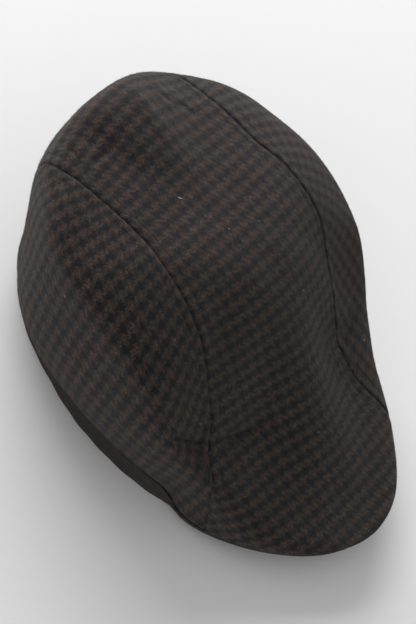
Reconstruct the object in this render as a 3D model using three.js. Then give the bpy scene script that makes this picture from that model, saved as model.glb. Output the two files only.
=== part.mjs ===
// Duckbill flat cap in a brushed wool check. One wide top panel runs from the back of
// the head over the crown and down onto the peak, a side panel closes each side, and
// both are sewn to a head band and to a stiff peak.
// Millimetres, +Z up. The peak points along -Y and +X is the wearer's left. The cap
// stands on the flat lower edge of its band, and its origin is the bottom centre.
import * as THREE from "three";
import { NURBSCurve } from "three/addons/curves/NURBSCurve.js";

// Head opening, from the middle of the head to the outside of the band
const OPENING_HALF_WIDTH = 83.5;
const OPENING_FRONT = 88;
const OPENING_BACK = 113;
const FRONT_SQUARENESS = 2.5;
const BACK_SQUARENESS = 2;

// Head band, a strip of folded cloth
const BAND_HEIGHT = 13.2;
const BAND_WALL = 2.4;

// Crown, one wall of felted cloth
const CROWN_HEIGHT = 109;
const CROWN_LEAN = 37;
const CLOTH = 1.8;

// Peak, a stiff arched board under the cloth
const PEAK_PROJECTION = 42;
const PEAK_SIDE_INSET = 2.6;
const PEAK_SHOULDER_SHARE = 0.5;
const PEAK_SQUARENESS = 1.9;
const PEAK_THICKNESS = 3;
const PEAK_TIP_HEIGHT = 22;
const PEAK_EDGE_INSET = 0.7;
const PEAK_INNER_ARCH = 0.5;

// Clearances between neighbouring pieces, and under the peak's corners
const GAP = 0.3;
const REST_CLEARANCE = 0.8;

// Sections of the crown by the angle round from the front. Out is a share of the
// opening's reach at that angle, and Up is a share of the crown's height. The lowest
// pair is counted up from the cloth's lower edge, the others from the band's foot.
const CROWN_COLUMNS = [
  "angle", "lowOut", "lowUp", "bellyOut", "bellyUp", "shoulderOut", "shoulderUp", "topOut", "topUp",
];
const CROWN_SECTIONS = [
  [0, 1.38, -0.02, 1.21, 0.29, 0.97, 0.48, 0.51, 0.83],
  [30, 1.30, 0.08, 1.07, 0.32, 0.80, 0.44, 0.52, 0.86],
  [58, 1.07, 0.16, 1.19, 0.475, 0.915, 0.535, 0.57, 0.89],
  [80, 1.20, 0.22, 1.21, 0.67, 1.16, 0.735, 0.57, 0.97],
  [105, 1.25, 0.17, 1.21, 0.70, 1.245, 0.885, 0.59, 1.01],
  [130, 1.24, 0.11, 1.22, 0.65, 1.285, 0.93, 0.59, 1.00],
  [155, 1.06, 0.09, 1.17, 0.61, 1.19, 0.95, 0.57, 1.01],
  [180, 1.01, 0.07, 1.07, 0.63, 1.09, 1.08, 0.56, 1.05],
].map((row) => Object.fromEntries(row.map((value, index) => [CROWN_COLUMNS[index], value])));
const APEX_FLAT_SHARE = 0.45;

// Seam between the top panel and a side panel, from the peak's edge to the band at the
// back. Share 0 is the cloth's lower edge and share 1 the middle of the crown.
const SEAM = [
  { angle: 50, share: 0 },
  { angle: 52.6, share: 0.168 },
  { angle: 53.7, share: 0.34 },
  { angle: 55, share: 0.48 },
  { angle: 60.5, share: 0.58 },
  { angle: 69, share: 0.653 },
  { angle: 80, share: 0.688 },
  { angle: 92.5, share: 0.707 },
  { angle: 105, share: 0.713 },
  { angle: 122, share: 0.712 },
  { angle: 136, share: 0.667 },
  { angle: 146.5, share: 0.585 },
  { angle: 153.5, share: 0.458 },
  { angle: 158.5, share: 0.302 },
  { angle: 164, share: 0.14 },
  { angle: 167, share: 0 },
];

// Folds and dents pressed into the crown. Negative angles are the wearer's right. The
// lengths are shares of the crown's height, turn leans the fold away from level, and a
// negative depth is a dent.
const FOLDS = [
  { name: "right waist crease", angle: -41, share: 0.455, along: 0.19, across: 0.06, turn: 24, depth: -0.022 },
  { name: "right side crease", angle: -63, share: 0.36, along: 0.16, across: 0.06, turn: 56, depth: -0.018 },
  { name: "right waist hollow", angle: -66, share: 0.34, along: 0.24, across: 0.16, turn: 30, depth: -0.035 },
  { name: "left waist crease", angle: 44, share: 0.44, along: 0.16, across: 0.055, turn: -22, depth: -0.014 },
  { name: "corner tuck", angle: -64, share: 0.07, along: 0.1, across: 0.06, turn: 20, depth: -0.01 },
  { name: "right side dent", angle: -130, share: 0.55, along: 0.19, across: 0.1, turn: -30, depth: -0.02 },
  { name: "back pucker", angle: -162, share: 0.62, along: 0.16, across: 0.09, turn: 70, depth: -0.022 },
  { name: "back ridge", angle: 176, share: 0.62, along: 0.16, across: 0.07, turn: 80, depth: 0.014 },
  { name: "left side dent", angle: 118, share: 0.5, along: 0.18, across: 0.1, turn: 25, depth: -0.012 },
];

// Fineness of the facets
const SEAM_STEPS = 28;
const FRONT_STEPS = 14;
const BACK_STEPS = 4;
const TOP_ROWS = 16;
const SIDE_ROWS = 10;
const PEAK_COLUMNS = 26;
const PEAK_ROWS = 5;
const BAND_STEPS = 120;

const DEGREE = Math.PI / 180;

// How quickly the cloth's edge climbs from the peak's corner to the band, how far ahead
// of the cloth the band starts to drop under it, and where the board ends at the corner
const CORNER_BLEND_DEGREES = 2.5;
const BAND_LEAD_DEGREES = 1.5;
const BOARD_END_DEGREES = 1;

// How the surface is read: halvings to find the peak's rim, and the small steps, and the
// last share short of the middle of the crown, that its slopes are taken over
const RIM_HALVINGS = 40;
const SLOPE_DEGREES = 0.5;
const SLOPE_SHARE = 0.004;
const LAST_SLOPE_SHARE = 0.999;

// The crown's section is a smooth curve, and the way along it is about this long
const MERIDIAN_KNOTS = [0, 0, 0, 0, 0.25, 0.5, 0.75, 1, 1, 1, 1];
const MERIDIAN_LENGTH = 1.7 * CROWN_HEIGHT;

const peakHalfWidth = OPENING_HALF_WIDTH - PEAK_SIDE_INSET;
const peakShoulder = OPENING_FRONT * PEAK_SHOULDER_SHARE;
const peakReach = OPENING_FRONT + PEAK_PROJECTION;
const peakCornerAngle = Math.atan2(peakHalfWidth, peakShoulder);
const peakCornerHeight = REST_CLEARANCE + PEAK_THICKNESS + GAP;

// Distance from the middle of the head to the outside of the band
function openingReach(angle) {
  const front = Math.cos(angle) > 0;
  const squareness = front ? FRONT_SQUARENESS : BACK_SQUARENESS;
  const side = Math.abs(Math.sin(angle)) / OPENING_HALF_WIDTH;
  const along = Math.abs(Math.cos(angle)) / (front ? OPENING_FRONT : OPENING_BACK);
  return (side ** squareness + along ** squareness) ** (-1 / squareness);
}

// Distance from the middle of the head to the peak's rim, found by halving
function peakRimReach(angle) {
  const depth = peakReach - peakShoulder;
  let inside = 0;
  let outside = 2 * (peakReach + OPENING_BACK);
  for (let step = 0; step < RIM_HALVINGS; step += 1) {
    const middle = (inside + outside) / 2;
    const side = Math.abs(middle * Math.sin(angle)) / peakHalfWidth;
    const ahead = Math.max(middle * Math.cos(angle) - peakShoulder, 0) / depth;
    if (side ** PEAK_SQUARENESS + ahead ** PEAK_SQUARENESS > 1) {
      outside = middle;
    } else {
      inside = middle;
    }
  }
  return inside;
}

// Lower edge of the cloth: the peak's rim in front, the top of the band behind it
function clothEdge(angle) {
  const turn = Math.abs(Math.atan2(Math.sin(angle), Math.cos(angle)));
  const onPeak = 1 / (1 + Math.exp((turn - peakCornerAngle) / (CORNER_BLEND_DEGREES * DEGREE)));
  const arch = Math.cos(Math.min(turn / peakCornerAngle, 1) * Math.PI / 2);
  const rimHeight = THREE.MathUtils.lerp(peakCornerHeight, PEAK_TIP_HEIGHT, arch);
  return {
    reach: THREE.MathUtils.lerp(openingReach(angle), peakRimReach(angle), onPeak),
    height: THREE.MathUtils.lerp(BAND_HEIGHT + GAP, rimHeight, onPeak),
  };
}

// Section of the crown at any angle, smooth between the rows and alike on both sides
function crownSection(angle) {
  const turn = Math.abs(Math.atan2(Math.sin(angle), Math.cos(angle))) / DEGREE;
  const last = CROWN_SECTIONS.length - 1;
  let row = 0;
  while (row < last - 1 && CROWN_SECTIONS[row + 1].angle < turn) row += 1;
  const start = CROWN_SECTIONS[row];
  const end = CROWN_SECTIONS[row + 1];
  const width = end.angle - start.angle;
  const t = (turn - start.angle) / width;
  const section = {};
  for (const column of CROWN_COLUMNS.slice(1)) {
    const before = row > 0 ? CROWN_SECTIONS[row - 1] : null;
    const after = row + 2 <= last ? CROWN_SECTIONS[row + 2] : null;
    const startSlope = before ? (end[column] - before[column]) / (end.angle - before.angle) : 0;
    const endSlope = after ? (after[column] - start[column]) / (after.angle - start.angle) : 0;
    section[column] = (2 * t ** 3 - 3 * t ** 2 + 1) * start[column]
      + (t ** 3 - 2 * t ** 2 + t) * width * startSlope
      + (3 * t ** 2 - 2 * t ** 3) * end[column]
      + (t ** 3 - t ** 2) * width * endSlope;
  }
  return section;
}

// The crown's section as a curve in its own upright plane, kept for each angle asked
const meridians = new Map();
function meridian(angle) {
  if (!meridians.has(angle)) {
    const section = crownSection(angle);
    const reach = openingReach(angle);
    const edge = clothEdge(angle);
    const controls = [
      [edge.reach, edge.height],
      [section.lowOut * reach, edge.height + section.lowUp * CROWN_HEIGHT],
      [section.bellyOut * reach, section.bellyUp * CROWN_HEIGHT],
      [section.shoulderOut * reach, section.shoulderUp * CROWN_HEIGHT],
      [section.topOut * reach, section.topUp * CROWN_HEIGHT],
      [APEX_FLAT_SHARE * section.topOut * reach, CROWN_HEIGHT],
      [0, CROWN_HEIGHT],
    ].map(([out, up]) => new THREE.Vector4(out, up, 0, 1));
    meridians.set(angle, new NURBSCurve(3, MERIDIAN_KNOTS, controls));
  }
  return meridians.get(angle);
}

// A point of the crown before its folds
function smoothPoint(angle, share) {
  const point = meridian(angle).getPoint(share);
  return new THREE.Vector3(
    point.x * Math.sin(angle),
    CROWN_LEAN * share - point.x * Math.cos(angle),
    point.y,
  );
}

// Tangents of a surface round the head and up the crown, per radian and per share
function tangents(surface, angle, share) {
  const turn = SLOPE_DEGREES * DEGREE;
  const low = Math.max(share - SLOPE_SHARE, 0);
  const high = Math.min(share + SLOPE_SHARE, LAST_SLOPE_SHARE);
  const round = surface(angle + turn, share).sub(surface(angle - turn, share)).divideScalar(2 * turn);
  const up = surface(angle, high).sub(surface(angle, low)).divideScalar(high - low);
  return { round, up };
}

function outwardNormal(surface, angle, share) {
  const { round, up } = tangents(surface, angle, share);
  return round.cross(up).normalize();
}

// How far the folds push the cloth out at one place
function foldHeight(angle, share) {
  let height = 0;
  for (const fold of FOLDS) {
    const turned = angle - fold.angle * DEGREE;
    const round = Math.atan2(Math.sin(turned), Math.cos(turned)) * openingReach(angle);
    const up = (share - fold.share) * MERIDIAN_LENGTH;
    const lean = fold.turn * DEGREE;
    const along = (round * Math.cos(lean) + up * Math.sin(lean)) / (fold.along * CROWN_HEIGHT);
    const across = (up * Math.cos(lean) - round * Math.sin(lean)) / (fold.across * CROWN_HEIGHT);
    height += fold.depth * CROWN_HEIGHT * Math.exp(-(along ** 2) - across ** 2);
  }
  return height;
}

// A point on the outside of the crown
function crownPoint(angle, share) {
  const push = foldHeight(angle, share);
  return smoothPoint(angle, share).addScaledVector(outwardNormal(smoothPoint, angle, share), push);
}

// The outer and inner point of the cloth's wall
function clothWall(angle, share) {
  const outer = crownPoint(angle, share);
  const inner = outer.clone().addScaledVector(outwardNormal(crownPoint, angle, share), -CLOTH);
  return { outer, inner };
}

// Both ends of the wall at the middle of the crown, where the sections meet
function apexWall() {
  const outer = smoothPoint(0, 1);
  return { outer, inner: outer.clone().add(new THREE.Vector3(0, 0, -CLOTH)) };
}

const seamCurve = new THREE.SplineCurve(SEAM.map(({ angle, share }) => new THREE.Vector2(angle * DEGREE, share)));

// A place beside the left seam, half a gap towards the top panel or the side panel
function besideSeam(step, towardsTop) {
  const along = step / SEAM_STEPS;
  const place = seamCurve.getPoint(along);
  const share = Math.max(place.y, 0);
  const direction = seamCurve.getTangent(along);
  const { round, up } = tangents(smoothPoint, place.x, share);
  const lengthRound = round.dot(round);
  const lengthUp = up.dot(up);
  const skew = round.dot(up);
  const offsetRound = -(skew * direction.x + lengthUp * direction.y);
  const offsetUp = lengthRound * direction.x + skew * direction.y;
  const length = Math.sqrt(
    lengthRound * offsetRound ** 2 + 2 * skew * offsetRound * offsetUp + lengthUp * offsetUp ** 2,
  );
  const move = (towardsTop ? 1 : -1) * (GAP / 2) / length;
  return { angle: place.x + offsetRound * move, share: Math.max(share + offsetUp * move, 0) };
}

// Closed body from two matching grids of points, the outer and the inner face of a
// wall. A round grid joins its last column to its first, and a pole closes its top.
// Each four-cornered patch is split along its shorter diagonal.
function wallGeometry(columns, { round = false, pole = null } = {}) {
  const rows = columns[0].length;
  const count = columns.length;
  const points = [];
  for (const column of columns) {
    for (const wall of column) points.push(wall.outer, wall.inner);
  }
  const outer = (column, row) => 2 * ((column % count) * rows + row);
  const inner = (column, row) => outer(column, row) + 1;
  const faces = [];
  const span = (a, b) => points[a].distanceTo(points[b]);
  const quad = (a, b, c, d) => {
    if (span(a, c) <= span(b, d)) faces.push(a, b, c, a, c, d);
    else faces.push(a, b, d, b, c, d);
  };
  const lastColumn = round ? count : count - 1;
  for (let column = 0; column < lastColumn; column += 1) {
    const next = column + 1;
    for (let row = 0; row < rows - 1; row += 1) {
      quad(outer(column, row), outer(next, row), outer(next, row + 1), outer(column, row + 1));
      quad(inner(column, row), inner(column, row + 1), inner(next, row + 1), inner(next, row));
    }
    quad(outer(column, 0), inner(column, 0), inner(next, 0), outer(next, 0));
    if (!pole) {
      quad(outer(column, rows - 1), outer(next, rows - 1), inner(next, rows - 1), inner(column, rows - 1));
    }
  }
  if (pole) {
    const apex = points.length;
    points.push(pole.outer, pole.inner);
    for (let column = 0; column < lastColumn; column += 1) {
      faces.push(outer(column, rows - 1), outer(column + 1, rows - 1), apex);
      faces.push(inner(column + 1, rows - 1), inner(column, rows - 1), apex + 1);
    }
  }
  if (!round) {
    for (let row = 0; row < rows - 1; row += 1) {
      quad(outer(0, row), outer(0, row + 1), inner(0, row + 1), inner(0, row));
      quad(outer(count - 1, row), inner(count - 1, row), inner(count - 1, row + 1), outer(count - 1, row + 1));
    }
  }
  const geometry = new THREE.BufferGeometry();
  geometry.setAttribute("position", new THREE.Float32BufferAttribute(points.flatMap((p) => p.toArray()), 3));
  geometry.setIndex(faces);
  geometry.computeVertexNormals();
  return geometry;
}

function clothColumn(angle, lowShare, highShare, rows, open) {
  const column = [];
  for (let row = 0; row < rows; row += 1) {
    const part = row / (open ? rows : rows - 1);
    column.push(clothWall(angle, THREE.MathUtils.lerp(lowShare, highShare, part)));
  }
  return column;
}

// Top panel: from the peak's rim over the crown to the band at the back
function topPanelGeometry() {
  const seamPlaces = [];
  for (let step = 0; step <= SEAM_STEPS; step += 1) seamPlaces.push(besideSeam(step, true));
  const frontAngle = seamPlaces[0].angle;
  const backAngle = 2 * Math.PI - 2 * seamPlaces[SEAM_STEPS].angle;
  const places = [];
  for (let step = 0; step < FRONT_STEPS; step += 1) {
    places.push({ angle: frontAngle * (2 * step / FRONT_STEPS - 1), share: 0 });
  }
  places.push(...seamPlaces);
  for (let step = 1; step < BACK_STEPS; step += 1) {
    places.push({ angle: seamPlaces[SEAM_STEPS].angle + backAngle * step / BACK_STEPS, share: 0 });
  }
  for (const place of seamPlaces.slice(1).reverse()) {
    places.push({ angle: -place.angle, share: place.share });
  }
  const columns = places.map(({ angle, share }) => clothColumn(angle, share, 1, TOP_ROWS, true));
  return wallGeometry(columns, { round: true, pole: apexWall() });
}

// Side panel: between the seam and the band, side is 1 on the wearer's left
function sidePanelGeometry(side) {
  const columns = [];
  for (let step = 1; step < SEAM_STEPS; step += 1) {
    const place = besideSeam(step, false);
    columns.push(clothColumn(side * place.angle, 0, place.share, SIDE_ROWS, false));
  }
  return wallGeometry(side > 0 ? columns : columns.reverse());
}

// Head band: a closed strip whose lower edge is the flat face that the cap stands on
function bandGeometry() {
  const columns = [];
  for (let step = 0; step < BAND_STEPS; step += 1) {
    const angle = (2 * Math.PI * step) / BAND_STEPS;
    const turn = Math.abs(Math.atan2(Math.sin(angle), Math.cos(angle)));
    const top = Math.min(BAND_HEIGHT, clothEdge(Math.max(turn - BAND_LEAD_DEGREES * DEGREE, 0)).height - GAP);
    const at = (reach, height) => new THREE.Vector3(reach * Math.sin(angle), -reach * Math.cos(angle), height);
    const reach = openingReach(angle);
    columns.push([
      { outer: at(reach, 0), inner: at(reach - BAND_WALL, 0) },
      { outer: at(reach, top), inner: at(reach - BAND_WALL, top) },
    ]);
  }
  return wallGeometry(columns, { round: true });
}

// Peak: a board from the front of the band to just inside the cloth's rim, under it
function peakGeometry() {
  const halfAngle = peakCornerAngle - BOARD_END_DEGREES * DEGREE;
  const columns = [];
  for (let column = 0; column <= PEAK_COLUMNS; column += 1) {
    const angle = halfAngle * (2 * column / PEAK_COLUMNS - 1);
    const edge = clothEdge(angle);
    const rim = clothWall(angle, 0);
    const rimHeight = Math.min(rim.outer.z, rim.inner.z) - GAP;
    const innerHeight = peakCornerHeight - GAP + PEAK_INNER_ARCH * (edge.height - peakCornerHeight);
    const walls = [];
    for (let row = 0; row <= PEAK_ROWS; row += 1) {
      const part = 1 - row / PEAK_ROWS;
      const reach = THREE.MathUtils.lerp(openingReach(angle) + GAP, edge.reach - PEAK_EDGE_INSET, part);
      const height = THREE.MathUtils.lerp(innerHeight, rimHeight, part);
      const outer = new THREE.Vector3(reach * Math.sin(angle), -reach * Math.cos(angle), height);
      const inner = outer.clone().add(new THREE.Vector3(0, 0, -PEAK_THICKNESS));
      walls.push({ outer, inner });
    }
    columns.push(walls);
  }
  return wallGeometry(columns);
}

function piece(name, geometry, color, roughness) {
  const material = new THREE.MeshStandardMaterial({ color, roughness, metalness: 0 });
  const mesh = new THREE.Mesh(geometry, material);
  mesh.name = name;
  return mesh;
}

const pieces = new THREE.Group();
pieces.add(
  piece("crown_top_panel", topPanelGeometry(), 0x3d3633, 0.95),
  piece("side_panel_right", sidePanelGeometry(-1), 0x38322f, 0.95),
  piece("side_panel_left", sidePanelGeometry(1), 0x38322f, 0.95),
  piece("head_band", bandGeometry(), 0x2a2624, 0.95),
  piece("peak", peakGeometry(), 0x2e2a28, 0.95),
);

// The origin is the middle of the cap's outline on the surface that it stands on
const outline = new THREE.Box3().setFromObject(pieces);
const middle = outline.getCenter(new THREE.Vector3());
pieces.position.set(-middle.x, -middle.y, 0);

const cap = new THREE.Group();
cap.add(pieces);

export default cap;
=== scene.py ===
"""The looks of a duckbill flat cap in a brushed wool check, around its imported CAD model.

Each cloth panel is rebuilt finely on the same surface as its solid, with its sewn edges,
topstitching, creases and nap. Metres, +Z up, the peak points along -Y.
"""
import math

import bpy
import numpy as np
from mathutils import Matrix, Vector
from mathutils.bvhtree import BVHTree
from mathutils.kdtree import KDTree


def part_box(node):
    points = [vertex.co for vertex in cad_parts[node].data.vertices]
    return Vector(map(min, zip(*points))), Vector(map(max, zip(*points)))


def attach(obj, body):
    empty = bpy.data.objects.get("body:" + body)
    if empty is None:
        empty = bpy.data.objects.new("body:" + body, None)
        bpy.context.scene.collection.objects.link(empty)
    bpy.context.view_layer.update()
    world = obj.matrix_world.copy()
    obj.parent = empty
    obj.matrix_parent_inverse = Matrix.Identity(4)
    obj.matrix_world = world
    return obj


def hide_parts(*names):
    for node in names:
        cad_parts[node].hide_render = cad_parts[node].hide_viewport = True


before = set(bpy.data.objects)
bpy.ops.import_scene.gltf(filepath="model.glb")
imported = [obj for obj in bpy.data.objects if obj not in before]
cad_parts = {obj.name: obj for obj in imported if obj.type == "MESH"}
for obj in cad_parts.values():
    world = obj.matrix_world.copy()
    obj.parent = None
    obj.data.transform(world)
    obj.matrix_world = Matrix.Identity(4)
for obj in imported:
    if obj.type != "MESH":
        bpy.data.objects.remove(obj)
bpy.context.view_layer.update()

MM = 0.001

# The sizes of the solids, as the part's source has them
OPENING_HALF_WIDTH = 83.5 * MM
OPENING_FRONT = 88 * MM
OPENING_BACK = 113 * MM
FRONT_SQUARENESS = 2.5
BACK_SQUARENESS = 2
BAND_HEIGHT = 13.2 * MM
BAND_WALL = 2.4 * MM
CROWN_HEIGHT = 109 * MM
CROWN_LEAN = 37 * MM
CLOTH = 1.8 * MM
PEAK_PROJECTION = 42 * MM
PEAK_SIDE_INSET = 2.6 * MM
PEAK_SHOULDER_SHARE = 0.5
PEAK_SQUARENESS = 1.9
PEAK_THICKNESS = 3 * MM
PEAK_TIP_HEIGHT = 22 * MM
PEAK_EDGE_INSET = 0.7 * MM
PEAK_INNER_ARCH = 0.5
GAP = 0.3 * MM
REST_CLEARANCE = 0.8 * MM
APEX_FLAT_SHARE = 0.45
CORNER_BLEND = math.radians(2.5)
MERIDIAN_KNOTS = np.array([0, 0, 0, 0, 0.25, 0.5, 0.75, 1, 1, 1, 1])
MERIDIAN_DEGREE = 3
MERIDIAN_LENGTH = 1.7 * CROWN_HEIGHT
BOARD_END = math.radians(1)
BAND_LEAD = math.radians(1.5)

# How finely the rim is found and slopes are read off the surface
RIM_HALVINGS = 40
SLOPE_TURN = math.radians(0.5)
SLOPE_SHARE = 0.004
LOWER_SHARES = (0, 0.99)
UPPER_SHARES = (0.006, 0.999)
TINY = 1e-12

# Sections of the crown: angle, then low, belly, shoulder and top, each out and up
CROWN_SECTIONS = np.array([
    [0, 1.38, -0.02, 1.21, 0.29, 0.97, 0.48, 0.51, 0.83],
    [30, 1.30, 0.08, 1.07, 0.32, 0.80, 0.44, 0.52, 0.86],
    [58, 1.07, 0.16, 1.19, 0.475, 0.915, 0.535, 0.57, 0.89],
    [80, 1.20, 0.22, 1.21, 0.67, 1.16, 0.735, 0.57, 0.97],
    [105, 1.25, 0.17, 1.21, 0.70, 1.245, 0.885, 0.59, 1.01],
    [130, 1.24, 0.11, 1.22, 0.65, 1.285, 0.93, 0.59, 1.00],
    [155, 1.06, 0.09, 1.17, 0.61, 1.19, 0.95, 0.57, 1.01],
    [180, 1.01, 0.07, 1.07, 0.63, 1.09, 1.08, 0.56, 1.05],
])

# The seam between the top panel and a side panel: angle and share
SEAM = np.array([
    [50, 0], [52.6, 0.168], [53.7, 0.34], [55, 0.48],
    [60.5, 0.58], [69, 0.653], [80, 0.688], [92.5, 0.707],
    [105, 0.713], [122, 0.712], [136, 0.667], [146.5, 0.585],
    [153.5, 0.458], [158.5, 0.302], [164, 0.14], [167, 0],
])

# Folds and dents of the solids, the two on the upper back made shallower:
# angle, share, along, across, turn, depth
FOLDS = [
    (-41, 0.455, 0.19, 0.06, 24, -0.022),
    (-63, 0.36, 0.16, 0.06, 56, -0.018),
    (-66, 0.34, 0.24, 0.16, 30, -0.035),
    (44, 0.44, 0.16, 0.055, -22, -0.014),
    (-64, 0.07, 0.10, 0.06, 20, -0.010),
    (-130, 0.55, 0.19, 0.10, -30, -0.014),
    (-162, 0.62, 0.16, 0.09, 70, -0.013),
    (176, 0.62, 0.16, 0.07, 80, 0.014),
    (118, 0.50, 0.18, 0.10, 25, -0.012),
]

band_low, band_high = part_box("head_band")
HEAD_MIDDLE = np.array([(band_low.x + band_high.x) / 2, band_low.y + OPENING_FRONT, 0.0])
peak_half_width = OPENING_HALF_WIDTH - PEAK_SIDE_INSET
peak_shoulder = OPENING_FRONT * PEAK_SHOULDER_SHARE
peak_reach = OPENING_FRONT + PEAK_PROJECTION
peak_corner_angle = math.atan2(peak_half_width, peak_shoulder)
peak_corner_height = REST_CLEARANCE + PEAK_THICKNESS + GAP

# The view of the photograph
AZIMUTH, ELEVATION, ROLL = math.radians(-87.6), math.radians(46.44), math.radians(43.67)
TARGET = Vector((-0.0001, -0.0022, 0.0525))
TARGET_PIXEL = (235.45, 326.11)
DISTANCE = 1.55
PIXELS_PER_METRE = 1895.0
IMAGE = (416, 624)
back = Vector((
    math.sin(AZIMUTH) * math.cos(ELEVATION),
    -math.cos(AZIMUTH) * math.cos(ELEVATION),
    math.sin(ELEVATION),
))
level_right = (-back).cross(Vector((0, 0, 1))).normalized()
level_up = level_right.cross(-back)
image_right = level_right * math.cos(ROLL) + level_up * math.sin(ROLL)
image_up = level_up * math.cos(ROLL) - level_right * math.sin(ROLL)


def lerp(start, end, part):
    """The value that lies a part of the way from start to end."""
    return start + (end - start) * part


def wrap(angle):
    """The same angle between minus and plus half a turn."""
    return np.arctan2(np.sin(angle), np.cos(angle))


def opening_reach(angle):
    """Distance from the middle of the head to the outside of the band."""
    ahead = np.cos(angle) > 0
    power = np.where(ahead, FRONT_SQUARENESS, BACK_SQUARENESS)
    side = np.abs(np.sin(angle)) / OPENING_HALF_WIDTH
    along = np.abs(np.cos(angle)) / np.where(ahead, OPENING_FRONT, OPENING_BACK)
    return (side ** power + along ** power) ** (-1 / power)


def peak_rim_reach(angle):
    """Distance from the middle of the head to the peak's rim, found by halving."""
    depth = peak_reach - peak_shoulder
    inside = np.zeros_like(angle)
    outside = np.full_like(angle, 2 * (peak_reach + OPENING_BACK))
    for _ in range(RIM_HALVINGS):
        middle = (inside + outside) / 2
        side = np.abs(middle * np.sin(angle)) / peak_half_width
        ahead = np.maximum(middle * np.cos(angle) - peak_shoulder, 0) / depth
        beyond = side ** PEAK_SQUARENESS + ahead ** PEAK_SQUARENESS > 1
        outside = np.where(beyond, middle, outside)
        inside = np.where(beyond, inside, middle)
    return inside


def cloth_edge(angle):
    """Reach and height of the cloth's lower edge."""
    turn = np.abs(wrap(angle))
    on_peak = 1 / (1 + np.exp((turn - peak_corner_angle) / CORNER_BLEND))
    arch = np.cos(np.minimum(turn / peak_corner_angle, 1) * math.pi / 2)
    rim_height = lerp(peak_corner_height, PEAK_TIP_HEIGHT, arch)
    reach = lerp(opening_reach(angle), peak_rim_reach(angle), on_peak)
    return reach, lerp(BAND_HEIGHT + GAP, rim_height, on_peak)


def crown_section(angle):
    """The section's eight values at each angle."""
    turn = np.degrees(np.abs(wrap(angle)))
    at, values = CROWN_SECTIONS[:, 0], CROWN_SECTIONS[:, 1:]
    slopes = np.zeros_like(values)
    slopes[1:-1] = (values[2:] - values[:-2]) / (at[2:] - at[:-2])[:, None]
    row = np.clip(np.searchsorted(at, turn) - 1, 0, len(at) - 2)
    width = at[row + 1] - at[row]
    t = ((turn - at[row]) / width)[..., None]
    width = width[..., None]
    return (
        (2 * t ** 3 - 3 * t ** 2 + 1) * values[row]
        + (t ** 3 - 2 * t ** 2 + t) * width * slopes[row]
        + (3 * t ** 2 - 2 * t ** 3) * values[row + 1]
        + (t ** 3 - t ** 2) * width * slopes[row + 1]
    )


def spline_weights(share):
    """Weights of the seven points of a cubic spline that starts and ends on its end points."""
    knots = MERIDIAN_KNOTS
    t = np.clip(share, 0, 1 - 1e-9)[..., None]
    weights = ((knots[:-1] <= t) & (t < knots[1:])).astype(float)
    for degree in range(1, MERIDIAN_DEGREE + 1):
        low, high = knots[:-degree - 1], knots[degree + 1:]
        rise = knots[degree:-1] - knots[:-degree - 1]
        fall = knots[degree + 1:] - knots[1:-degree]
        up = np.where(rise > 0, (t - low) / np.where(rise > 0, rise, 1), 0)
        down = np.where(fall > 0, (high - t) / np.where(fall > 0, fall, 1), 0)
        weights = up * weights[..., :-1] + down * weights[..., 1:]
    return weights


def smooth_point(angle, share):
    """The crown's surface before its folds."""
    section = crown_section(angle)
    reach = opening_reach(angle)
    edge_reach, edge_height = cloth_edge(angle)
    values = np.moveaxis(section, -1, 0)
    low_out, low_up, belly_out, belly_up, shoulder_out, shoulder_up, top_out, top_up = values
    flat = np.full_like(reach, CROWN_HEIGHT)
    out = np.stack([
        edge_reach, low_out * reach, belly_out * reach, shoulder_out * reach, top_out * reach,
        APEX_FLAT_SHARE * top_out * reach, 0 * reach,
    ], -1)
    up = np.stack([
        edge_height, edge_height + low_up * CROWN_HEIGHT, belly_up * CROWN_HEIGHT,
        shoulder_up * CROWN_HEIGHT, top_up * CROWN_HEIGHT, flat, flat,
    ], -1)
    weights = spline_weights(share)
    rho = (weights * out).sum(-1)
    return np.stack([
        rho * np.sin(angle),
        CROWN_LEAN * share - rho * np.cos(angle),
        (weights * up).sum(-1),
    ], -1) + HEAD_MIDDLE


def unit(ways):
    """The same directions, each one metre long."""
    return ways / np.maximum(np.linalg.norm(ways, axis=-1, keepdims=True), TINY)


def surface_normal(angle, share):
    """Outward direction of the smooth surface, away from the middle of the crown."""
    low = np.clip(share - SLOPE_SHARE, *LOWER_SHARES)
    high = np.clip(share + SLOPE_SHARE, *UPPER_SHARES)
    across = smooth_point(angle + SLOPE_TURN, share) - smooth_point(angle - SLOPE_TURN, share)
    upward = smooth_point(angle, high) - smooth_point(angle, low)
    normal = np.cross(across, upward)
    return unit(normal)


def fold_height(angle, share):
    """How far the folds of the solids push the cloth out."""
    height = np.zeros_like(share)
    for at, level, along, across, turn, depth in FOLDS:
        round_way = wrap(angle - math.radians(at)) * opening_reach(angle)
        up_way = (share - level) * MERIDIAN_LENGTH
        lean = math.radians(turn)
        far = (round_way * math.cos(lean) + up_way * math.sin(lean)) / (along * CROWN_HEIGHT)
        wide = (up_way * math.cos(lean) - round_way * math.sin(lean)) / (across * CROWN_HEIGHT)
        height += depth * CROWN_HEIGHT * np.exp(-far ** 2 - wide ** 2)
    return height


def catmull(points, steps):
    """Points along a smooth curve through the given ones."""
    points = np.asarray(points, float)
    padded = np.vstack([points[:1], points, points[-1:]])
    at = np.linspace(0, len(points) - 1, steps)
    row = np.minimum(at.astype(int), len(points) - 2)
    t = (at - row)[:, None]
    a, b, c, d = (padded[row + k] for k in range(4))
    return (
        2 * b + (c - a) * t + (2 * a - 5 * b + 4 * c - d) * t ** 2 + (3 * b - a - 3 * c + d) * t ** 3
    ) / 2


def grid_normals(points):
    """Normals of a grid of points, rows by columns."""
    return unit(np.cross(np.gradient(points, axis=1), np.gradient(points, axis=0)))


def length_along(points):
    """How far along a line of points each one lies."""
    steps = np.linalg.norm(np.diff(points, axis=0), axis=-1)
    return np.concatenate([[0], np.cumsum(steps)])


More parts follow.
